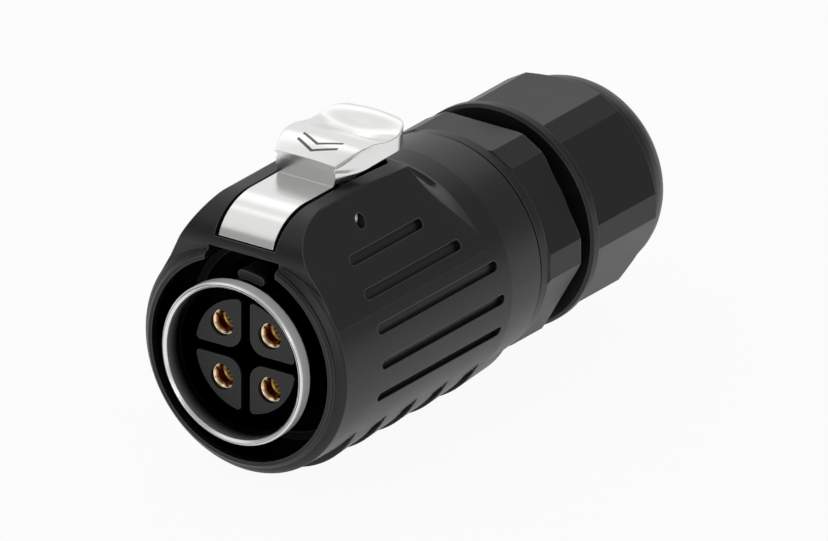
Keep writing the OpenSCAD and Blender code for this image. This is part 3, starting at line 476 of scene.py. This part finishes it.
def relief(tree, height, strength, depth, edge):
    """Normals of a fine relief on a solid whose edges are rounded over a radius."""
    bevel = tree.nodes.new("ShaderNodeBevel")
    bevel.samples = BEVEL_SAMPLES
    bevel.inputs["Radius"].default_value = edge
    bump = tree.nodes.new("ShaderNodeBump")
    bump.inputs["Strength"].default_value = strength
    bump.inputs["Distance"].default_value = depth
    tree.links.new(height, bump.inputs["Height"])
    tree.links.new(bevel.outputs["Normal"], bump.inputs["Normal"])
    return bump.outputs["Normal"]


def grained_material(name, metallic, low, high, grain, edge):
    """A material whose colour and roughness wander with a fine grain, given as sizes and strengths."""
    material, surface = new_material(name, metallic)
    tree = material.node_tree
    texture = group_node(material, moulded_grain(), Grain_size=grain["size"], Roughness=grain["roughness"],
                         Spread=grain["spread"])
    normal = relief(tree, texture["Height"], grain["strength"], grain["depth"], edge)
    tree.links.new(colour_mix(tree, texture["Mottle"], low, high), surface["Base Color"])
    tree.links.new(texture["Roughness"], surface["Roughness"])
    tree.links.new(normal, surface["Normal"])
    return material


def moulded_material(name, tone, roughness, strength, edge):
    """Black thermoplastic or rubber with a fine grain, painted highlights on its edges and painted shade in its
    hollows.
    """
    dark, light, deep = 0.85, 1.15, 0.3
    finish = settings().finish
    grain = {"size": finish.grain_size, "roughness": roughness, "spread": 0.08, "strength": strength,
             "depth": 0.02 * MM}
    material = grained_material(name, 0.0, tinted(tone, dark), tinted(tone, light), grain, edge)
    form = group_node(material, edges_and_hollows(), Edge_radius=edge, Hollow_reach=finish.hollow_reach)
    # Painted shade in the hollows, then a painted highlight on the edges.
    shade(material, form["Hollow"], tinted(tone, deep), painted_shade=True)
    shade(material, form["Edge"], finish.edge_highlight_colour)
    return material


def bright_material(name, tone, roughness, edge, metallic=1.0, strength=0.08):
    """Plated or drawn metal with a satin grain."""
    dull = 0.96
    grain = {"size": settings().finish.satin_grain, "roughness": roughness, "spread": 0.06,
             "strength": strength, "depth": 0.005 * MM}
    return grained_material(name, metallic, tinted(tone, dull), tone, grain, edge)


def shade(material, mask, tone, painted_shade=False):
    """Lays a tone over a material where a mask is set; where that tone is painted shade, it also takes the gloss
    away there.
    """
    tree = material.node_tree
    base, metal = (principled(material)[label] for label in ("Base Color", "Metallic"))
    tree.links.new(colour_mix(tree, mask, base.links[0].from_socket, tone), base)
    if painted_shade:
        before = metal.links[0].from_socket if metal.links else metal.default_value
        glossy = maths(tree, "MULTIPLY", maths(tree, "SUBTRACT", 1, before), maths(tree, "SUBTRACT", 1, mask))
        tree.links.new(maths(tree, "SUBTRACT", 1, glossy), metal)


def paint(names, material):
    """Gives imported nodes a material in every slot."""
    for name in names:
        mesh = frame["nodes"][name].data
        mesh.materials.clear()
        mesh.materials.append(material)


def loft(bm, rings, closed=False):
    """Skins a row of equal rings of points, with flat ends unless the row closes on itself."""
    rows = [[bm.verts.new(point) for point in ring] for ring in rings]
    sides = len(rows[0])
    pairs = list(zip(rows, rows[1:])) + ([(rows[-1], rows[0])] if closed else [])
    for low, high in pairs:
        for i in range(sides):
            j = (i + 1) % sides
            bm.faces.new((low[i], low[j], high[j], high[i]))
    if not closed:
        bm.faces.new(rows[0][::-1])
        bm.faces.new(rows[-1])


def prism(bm, outline, half):
    """Carries an outline of (along, height) points across the plug."""
    loft(bm, [[Vector((x, y, z)) for y, z in outline] for x in (-half, half)])


def oval(centre, along, height, start, end, steps):
    """Points on an upright oval between two angles in degrees."""
    angles = [math.radians(start + (end - start) * i / steps) for i in range(steps + 1)]
    return [(centre[0] + along * math.cos(a), centre[1] + height * math.sin(a)) for a in angles]


def circle(radius, centre=(0, 0)):
    """Points round a circle."""
    return oval(centre, radius, radius, 0, 360 - 360 / ROUND_STEPS, ROUND_STEPS - 1)


def piece(name, bm, material, body, crease=30):
    """A finished piece: smooth between its sharp edges, on a body and in a material slot."""
    bmesh.ops.recalc_face_normals(bm, faces=bm.faces)
    mesh = bpy.data.meshes.new(name)
    bm.to_mesh(mesh)
    bm.free()
    mesh.shade_smooth()
    mesh.set_sharp_from_angle(angle=math.radians(crease))
    mesh.materials.append(material)
    obj = bpy.data.objects.new(name, mesh)
    bpy.context.scene.collection.objects.link(obj)
    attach(obj, body)
    return obj


class PLUG_OT_mouldings(Operator):
    """Finish the shell, the rear body, the gland nut and the inner mouldings"""

    bl_idname = "plug.mouldings"
    bl_label = "Mouldings"

    def execute(self, context):
        finish, mouth = settings().finish, settings().mouth
        black = moulded_material(
            "Body moulding", finish.shell_colour, roughness=0.34, strength=0.25, edge=finish.edge_round)
        # Painted shade inside the shell's socket.
        socket = group_node(black, mouth_depth(), Radius=mouth.socket_radius, Inner_start=mouth.socket_start,
                            Outer_start=FAR_REAR)
        shade(black, socket["Mask"], finish.painted_shade_colour, painted_shade=True)
        paint(("shell",), black)
        rear = moulded_material(
            "Rear moulding", finish.shell_colour, roughness=0.34, strength=0.25, edge=finish.edge_round)
        paint(REAR_MOULDINGS, rear)
        for material in (black, rear):
            # Painted shadow in the seam between the shell and the rear body.
            seam = group_node(material, seam_line(), Place=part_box("shell")[1].y, Half_width=finish.seam / 2)
            shade(material, seam["Mask"], finish.painted_shade_colour, painted_shade=True)
        divided = moulded_material(
            "Insulator moulding", finish.insulator_colour, roughness=0.5, strength=0.15,
            edge=finish.edge_round / 2)
        # Painted shade in the insulator's gaps.
        gaps = group_node(divided, mouth_depth(), Radius=mouth.gap_radius, Inner_start=mouth.gap_start,
                          Outer_start=FAR_REAR)
        shade(divided, gaps["Mask"], finish.painted_shade_colour, painted_shade=True)
        paint(INSULATING, divided)
        paint(RUBBER, moulded_material(
            "Seal rubber", finish.rubber_colour, roughness=0.7, strength=0.3, edge=finish.edge_round))
        return {"FINISHED"}


class PLUG_OT_metalwork(Operator):
    """Finish the sleeve, the screws, the washer and the contacts"""

    bl_idname = "plug.metalwork"
    bl_label = "Metalwork"

    def execute(self, context):
        finish, mouth = settings().finish, settings().mouth
        paint(("coupling_sleeve",), self.sleeve_satin(finish, mouth))
        steel = bright_material("Drawn steel", finish.steel_colour, roughness=0.25, edge=0.05 * MM)
        paint(BRIGHT_STEEL, steel)
        gilt = bright_material("Gilt", finish.gilt_colour, roughness=0.12, edge=0.2 * MM)
        low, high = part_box("crown_spring_2")
        # Painted shade inside the contacts' mouths.
        mouths = group_node(gilt, contact_mouths(), Offset=(low.x + high.x) / 2, Rim=mouth.contact_rim,
                            Fade=mouth.contact_fade)
        shade(gilt, mouths["Mask"], finish.mouth_shade_colour)
        paint(CONTACTS, gilt)
        return {"FINISHED"}

    @staticmethod
    def sleeve_satin(finish, mouth):
        """Satin metal with a bright lip, a paler outside, painted black shade inside the mouth and a fine turned
        line.
        """
        lip_metal, outside_metal = 0.8, 0.2
        satin = bright_material("Satin sleeve", finish.satin_colour, roughness=0.22, edge=0.2 * MM)
        tree = satin.node_tree
        outside = group_node(satin, mouth_depth(), Radius=mouth.outside_radius, Inner_start=FAR_REAR,
                             Outer_start=FAR_FRONT)
        metal = maths(tree, "MULTIPLY_ADD", outside["Mask"], outside_metal - lip_metal, lip_metal)
        tree.links.new(metal, principled(satin)["Metallic"])
        # Painted shade inside the sleeve, and on its outside behind the lip.
        sleeve_shade = group_node(satin, mouth_depth(), Radius=mouth.sleeve_shade_radius, Inner_start=mouth.sleeve_shade_start,
                            Outer_start=mouth.outside_end, Fade=mouth.sleeve_shade_fade)
        shade(satin, sleeve_shade["Mask"], finish.painted_shade_colour, painted_shade=True)
        line = group_node(satin, turned_line(), Radius=mouth.line_radius, Half_width=mouth.line_half)
        shade(satin, line["Mask"], finish.cut_colour)
        return satin


def ease(t):
    """Runs smoothly from 0 to 1."""
    t = min(1, max(0, t))
    return t * t * (3 - 2 * t)


def rim_height(pad, d):
    """Height of the pad's rim at a distance behind its front."""
    rise = pad.crest * math.sin(math.pi / 2 * min(1, d / pad.crest_place))
    fall = pad.fall * ease((d - pad.flare) / (pad.crease - pad.flare))
    lift = pad.tip_lift * ease((d - pad.length + pad.tip_length) / pad.tip_length)
    return pad.front_top + rise - fall + lift


def rim_half(pad, d):
    """Half of the pad's width at a distance behind its front."""
    widening = (pad.half - pad.front_half) * math.sin(math.pi / 2 * min(1, d / pad.flare))
    s = max(0, d - pad.length + pad.tip_length) / pad.tip_length
    return pad.front_half + widening - pad.tip_in * (1 - math.sqrt(max(0, 1 - s * s)))


def crease_depth(pad, d):
    """How far the middle of the pad's top sinks at a distance behind its front."""
    if d < pad.crease:
        part = max(0, (d - pad.crest_place) / (pad.crease - pad.crest_place))
    else:
        part = (pad.length - d) / (pad.length - pad.crease)
    return pad.dish * part ** 2


def pad_section(pad, latch, d):
    """Closed section of the pad: creased top, round rim, hollow wall, ledge and rounded underside."""
    top_steps, rim_steps, wall_steps = 32, 4, 10
    half, rim, edge = rim_half(pad, d), rim_height(pad, d), latch.edge
    cover = 4 * edge
    foot = half - pad.ledge_step
    hollow = pad.hollow * max(0, 1 - d / pad.crease)
    ledge = pad.ledge + pad.ledge_rise * max(0, 1 - d / pad.flare) ** 2
    hull = ledge - pad.hull_tip - pad.hull * (1 - d / pad.length) ** pad.hull_taper
    base = min(latch.half_width, foot - (pad.front_half - pad.ledge_step - latch.half_width))
    pocket_top = min(pad.ledge, rim - cover)
    crown = pad.crown - crease_depth(pad, d)
    flat = half - edge
    places = [2 * i / top_steps - 1 for i in range(top_steps + 1)]
    top = [(flat * q, rim + crown * (1 - q * q)) for q in places]
    right = []
    for i in range(1, rim_steps + 1):
        a = math.pi / 2 * (1 - i / rim_steps)
        right.append((flat + edge * math.cos(a), rim - edge + edge * math.sin(a)))
    for i in range(1, wall_steps + 1):
        s = 1 - i / wall_steps
        right.append((foot + (half - foot) * s - 4 * hollow * s * (1 - s), ledge + (rim - edge - ledge) * s))
    for i in range(1, wall_steps + 1):
        a = math.pi / 2 * i / wall_steps
        right.append((base + (foot - base) * math.cos(a), ledge + (hull - ledge) * math.sin(a)))
    under = [(base * (1 - 2 * i / top_steps), hull) for i in range(1, top_steps)]
    left = [(-x, z) for x, z in reversed(right)]
    points = [Vector((x, pad.front + d, z)) for x, z in top + right + under + left]
    for point in points[len(top) + rim_steps + wall_steps:-rim_steps - wall_steps]:
        if math.hypot(point.x, point.y - latch.spring_place) < latch.pocket_radius:
            point.z = max(point.z, pocket_top)
    return points


class PLUG_OT_latch(Operator):
    """Build the bright thumb latch: curled plate, stem, thumb pad, hook and pin boss"""

    bl_idname = "plug.latch"
    bl_label = "Thumb latch"

    def execute(self, context):
        finish, latch, pad = settings().finish, settings().latch, settings().pad
        bm = bmesh.new()
        self.plate_and_stem(bm, latch, pad)
        tail = pad.length - pad.crease
        shares = [k / pad.rows for k in range(1, pad.rows + 1)]
        stations = [pad.crease * k / pad.rows for k in range(pad.rows + 1)]
        stations += [pad.crease + tail * math.sin(math.pi / 2 * part) for part in shares]
        loft(bm, [pad_section(pad, latch, d) for d in stations])

        plating = bright_material("Bright plating", finish.plate_colour, roughness=0.19, edge=latch.edge)
        mark = group_node(plating, engraved_chevrons(), Start=pad.front + pad.mark_start, Floor=pad.front_top)
        shade(plating, mark["Mask"], finish.cut_colour)
        obj = piece("thumb_latch", bm, plating, "lever", crease=24)
        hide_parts("latch")
        return {"FINISHED"}

    @staticmethod
    def plate_and_stem(bm, latch, pad):
        """The curled plate with its hook and web, chamfered, and the stem and the pin's boss."""
        curl_steps, sharp = 48, 0.6
        pivot = Vector(joint("latch_press")["pos_m"])
        hook_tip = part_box("latch")[0].z
        under = latch.top - latch.thickness
        centre = (latch.curl_front + latch.curl_length, latch.top - latch.curl_height)
        rise = latch.curl_foot - centre[1]
        inner = latch.curl_height - latch.thickness
        rear = pad.front + latch.thickness
        outer_foot, inner_foot = (180 - math.degrees(math.asin(rise / r)) for r in (latch.curl_height, inner))
        prism(bm, oval(centre, latch.curl_length, latch.curl_height, outer_foot, 90, curl_steps)
              + [(rear, latch.top), (rear, under)]
              + oval(centre, latch.curl_length - latch.thickness, inner, 90, inner_foot, curl_steps),
              latch.half_width)
        hook_rear = latch.hook_front + latch.hook_length
        prism(bm, [(latch.hook_front, under), (latch.hook_front, hook_tip + latch.hook_slope),
                   (latch.hook_front + latch.hook_slope, hook_tip), (hook_rear, hook_tip),
                   (hook_rear, under)], latch.half_width)
        web = latch.boss_radius - latch.edge
        web_low = pivot.z + (latch.boss_radius + latch.pin_hole) / 2
        web_top = under + latch.edge
        prism(bm, [(pivot.y - web, web_low), (pivot.y + web, web_low), (pivot.y + web, web_top),
                   (pivot.y - web, web_top)], latch.half_width)
        bmesh.ops.bevel(bm, geom=[e for e in bm.edges if e.calc_face_angle(0) > sharp], offset=latch.edge,
                        segments=1, affect="EDGES", clamp_overlap=True)
        stem_front = pad.front + latch.edge / 3
        stem_rear = latch.spring_place - latch.pocket_radius
        stem_top = pad.ledge + pad.hull / 2
        prism(bm, [(stem_front, under), (stem_front, stem_top), (stem_rear, stem_top),
                   (stem_rear - latch.thickness, latch.top + latch.thickness / 2),
                   (pad.front + 2 * latch.thickness, under)], latch.half_width)
        rings = [circle(r, (pivot.y, pivot.z)) for r in (latch.boss_radius, latch.pin_hole)]
        loft(bm, [[Vector((side * latch.half_width, y, z)) for y, z in rings[k]]
                  for side, k in ((-1, 0), (1, 0), (1, 1), (-1, 1))], closed=True)


class PLUG_OT_pin(Operator):
    """Turn the latch's cross pin, with a dome at each end"""

    bl_idname = "plug.pin"
    bl_label = "Latch pin"

    def execute(self, context):
        dome_share, dome_start, dome_steps = 0.75, 84, 12
        low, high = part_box("latch_pin")
        centre = (low + high) / 2
        radius = (high.z - low.z) / 2
        dome = oval((high.x - radius / 3, 0), radius * dome_share, radius, dome_start, 0, dome_steps)[:-1]
        stations = [(-x, r) for x, r in reversed(dome)] + dome
        bm = bmesh.new()
        loft(bm, [[Vector((x, centre.y + y, centre.z + z)) for y, z in circle(r)] for x, r in stations])
        steel = bright_material(
            "Pin steel", settings().finish.satin_colour, roughness=0.2, edge=0.02 * MM, metallic=0.3)
        obj = piece("cross_pin", bm, steel, "plug")
        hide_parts("latch_pin")
        return {"FINISHED"}


def coil_rings(centre, radius, wire, low, high, turns):
    """Rings of wire along a coil whose end turns lie level."""
    steps, sides, level_turns = 32, 10, 0.75
    rings = []
    for k in range(turns * steps + 1):
        turn = k / steps
        part = min(1, max(0, (turn - level_turns) / (turns - 2 * level_turns)))
        a = 2 * math.pi * turn
        z = low + wire + (high - low - 2 * wire) * part
        rings.append([
            Vector((centre.x + (radius + wire * math.cos(b)) * math.cos(a),
                    centre.y + (radius + wire * math.cos(b)) * math.sin(a), z + wire * math.sin(b)))
            for b in (2 * math.pi * i / sides for i in range(sides))])
    return rings


class PLUG_OT_return_spring(Operator):
    """Wind the latch's return spring from round wire"""

    bl_idname = "plug.return_spring"
    bl_label = "Return spring"

    def execute(self, context):
        finish, small = settings().finish, settings().small
        low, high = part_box("latch_spring")
        centre = (low + high) / 2
        radius = (high.x - low.x) / 2 - small.wire_radius
        bm = bmesh.new()
        loft(bm, coil_rings(centre, radius, small.wire_radius, low.z, high.z, small.turns))
        steel = bright_material("Spring wire", finish.steel_colour, roughness=0.22, edge=0.02 * MM)
        obj = piece("return_spring", bm, steel, "plug")
        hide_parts("latch_spring")
        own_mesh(obj)
        return {"FINISHED"}


class PLUG_OT_crown_springs(Operator):
    """Fit each contact with a crown of bowed slats between two bands"""

    bl_idname = "plug.crown_springs"
    bl_label = "Crown springs"

    def execute(self, context):
        small = settings().small
        gilt = bright_material("Gilt crown", settings().finish.crown_colour, roughness=0.16, edge=0.02 * MM,
                               metallic=0.4, strength=0.9)
        for name in CROWNS:
            low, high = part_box(name)
            bm = bmesh.new()
            band = (high.y - low.y) * small.band_share
            for start in (low.y, high.y - band):
                self.add_band(bm, small, low, high, start, start + band)
            for k in range(small.slats):
                self.add_slat(bm, small, low, high, band, 2 * math.pi * k / small.slats)
            obj = piece(name.replace("spring", "slats"), bm, gilt, "plug")
            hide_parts(name)
        return {"FINISHED"}

    @staticmethod
    def add_band(bm, small, low, high, start, end):
        """A thin ring round a crown spring's axis, between two places on it."""
        centre = (low + high) / 2
        outer = (high.x - low.x) / 2
        inner = outer - small.slat_thickness
        loft(bm, [[Vector((centre.x + x, y, centre.z + z)) for x, z in circle(r)]
                  for r, y in ((outer, start), (outer, end), (inner, end), (inner, start))], closed=True)

    @staticmethod
    def add_slat(bm, small, low, high, band, bearing):
        """One slat that bows in and turns a little from band to band."""
        steps, clearance = 12, 0.01 * MM
        centre = (low + high) / 2
        outer = (high.x - low.x) / 2
        half = 2 * math.pi / small.slats * small.slat_share
        rings = []
        for i in range(steps + 1):
            part = i / steps
            y = low.y + band / 2 + (high.y - low.y - band) * part
            r = outer - clearance - small.waist * math.sin(math.pi * part)
            inner = r - small.slat_thickness
            mid = bearing + small.slat_twist * part
            rings.append([
                Vector((centre.x + q * math.cos(mid + w), y, centre.z + q * math.sin(mid + w)))
                for q, w in ((r, -half), (r, half), (inner, half), (inner, -half))])
        loft(bm, rings)


class PLUG_OT_gland_thread(Operator):
    """Cut the gland's screw thread round the rear body's tube"""

    bl_idname = "plug.gland_thread"
    bl_label = "Gland thread"

    def execute(self, context):
        small = settings().small
        steps, run_out, overlap = 64, 0.5, 0.05 * MM
        # Halves of the thread's foot and of its flat crest, in pitches
        foot, flat = 0.42, 0.1
        pitch = frame["record"]["behaviour"]["couplings"][0]["ratio"] * 2 * math.pi
        start = small.thread_start
        turns = (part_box("rear_body")[1].y - start - pitch) / pitch
        sunk = small.thread_root - overlap
        rings = []
        for k in range(int(turns * steps) + 1):
            turn = k / steps
            depth = ease(turn / run_out) * ease((turns - turn) / run_out)
            crest = small.thread_root + (small.thread_crest - small.thread_root) * depth
            a = 2 * math.pi * turn
            y = start + pitch * (turn + 0.5)
            rings.append([Vector((r * math.sin(a), y + offset * pitch, r * math.cos(a)))
                          for r, offset in ((sunk, -foot), (crest, -flat), (crest, flat), (sunk, foot))])
        bm = bmesh.new()
        loft(bm, rings)
        piece("gland_thread", bm, bpy.data.materials["Rear moulding"], "plug")
        return {"FINISHED"}


def view_axes(azimuth, elevation):
    """Right, up and back of a view at those angles."""
    right = Vector((math.cos(azimuth), math.sin(azimuth), 0))
    back = Vector((math.sin(azimuth) * math.cos(elevation), -math.cos(azimuth) * math.cos(elevation),
                   math.sin(elevation)))
    return right, back.cross(right), back


def softbox(name, width, height, power, place, target):
    """A wide soft lamp that faces a point."""
    data = bpy.data.lights.new(name, "AREA")
    data.shape = "RECTANGLE"
    data.size = width
    data.size_y = height
    data.energy = power
    lamp = bpy.data.objects.new(name, data)
    lamp.location = place
    lamp.rotation_euler = (target - place).to_track_quat("-Z", "Y").to_euler()
    bpy.context.scene.collection.objects.link(lamp)


def floor_material(seen, mirrored):
    """Pale paper that the camera sees as white, with the plug's shadow on it."""
    material, surface = new_material("Pale floor", 0.0)
    surface["Base Color"].default_value = (0.9, 0.9, 0.9, 1)
    surface["Roughness"].default_value = 0.9
    surface["Specular IOR Level"].default_value = 0.0
    tree = material.node_tree
    nodes, links = tree.nodes, tree.links
    white = nodes.new("ShaderNodeEmission")
    path = nodes.new("ShaderNodeLightPath").outputs
    mix = nodes.new("ShaderNodeMixShader")
    through = maths(tree, "MAXIMUM", path["Is Glossy Ray"], path["Is Transmission Ray"])
    mirror = maths(tree, "MULTIPLY", through, mirrored)
    links.new(maths(tree, "MULTIPLY_ADD", path["Is Camera Ray"], seen, mirror), mix.inputs[0])
    links.new(nodes["Principled BSDF"].outputs[0], mix.inputs[1])
    links.new(white.outputs[0], mix.inputs[2])
    links.new(mix.outputs[0], nodes["Material Output"].inputs["Surface"])
    return material


class PLUG_OT_stage(Operator):
    """Lay the floor, set the lamps and place the camera"""

    bl_idname = "plug.stage"
    bl_label = "Stage"

    def execute(self, context):
        scene = context.scene
        stage = settings().stage
        floor_z = CAD_BOX[0][2]
        bpy.ops.mesh.primitive_grid_add(
            x_subdivisions=8, y_subdivisions=8, size=6, location=(0, 0, floor_z))
        floor = context.object
        floor.name = "floor"
        floor.data.materials.append(floor_material(stage.floor_seen, stage.floor_mirrored))

        scene.world = bpy.data.worlds.new("Studio")
        scene.world.use_nodes = True
        sky = scene.world.node_tree.nodes["Background"]
        sky.inputs["Color"].default_value = (1, 1, 1, 1)
        sky.inputs["Strength"].default_value = stage.sky
        centre = Vector((0, stage.aim_along, 0))
        for name, width, height, power, place in SOFTBOXES:
            softbox(name, width, height, power, centre + Vector(place), centre)

        right, up, back = view_axes(stage.azimuth, stage.elevation)
        data = bpy.data.cameras.new("camera")
        data.type = "ORTHO"
        data.ortho_scale = stage.view_width
        data.clip_end = 10
        camera = bpy.data.objects.new("camera", data)
        middle = centre + right * stage.aim_right + up * stage.aim_up
        camera.location = middle + back * stage.distance
        camera.rotation_euler = (-back).to_track_quat("-Z", "Y").to_euler()
        scene.collection.objects.link(camera)
        scene.camera = camera
        scene.view_settings.view_transform = "Standard"
        return {"FINISHED"}


class PLUG_PT_panel(Panel):
    """Steps of the dresser, in order"""

    bl_label = "Cable Plug"
    bl_space_type = "VIEW_3D"
    bl_region_type = "UI"
    bl_category = "Cable Plug"

    def draw(self, context):
        for step in STEPS:
            self.layout.operator(step.bl_idname)


STEPS = (PLUG_OT_mouldings, PLUG_OT_metalwork, PLUG_OT_latch, PLUG_OT_pin, PLUG_OT_return_spring,
         PLUG_OT_crown_springs, PLUG_OT_gland_thread, PLUG_OT_stage)
CLASSES = (PlugFinish, PlugMouth, PlugLatch, PlugThumbPad, PlugSmallMetal, PlugStage, PlugSettings, *STEPS,
           PLUG_PT_panel)


def register():
    """Adds the settings, the operators and the panel."""
    for cls in CLASSES:
        bpy.utils.register_class(cls)
    bpy.types.Scene.cable_plug = PointerProperty(type=PlugSettings)


def unregister():
    """Takes the settings, the operators and the panel away."""
    del bpy.types.Scene.cable_plug
    for cls in reversed(CLASSES):
        bpy.utils.unregister_class(cls)


def main():
    """Runs every step in order."""
    register()
    for step in STEPS:
        group, name = step.bl_idname.split(".")
        getattr(getattr(bpy.ops, group), name)()


if __name__ == "__main__":
    main()
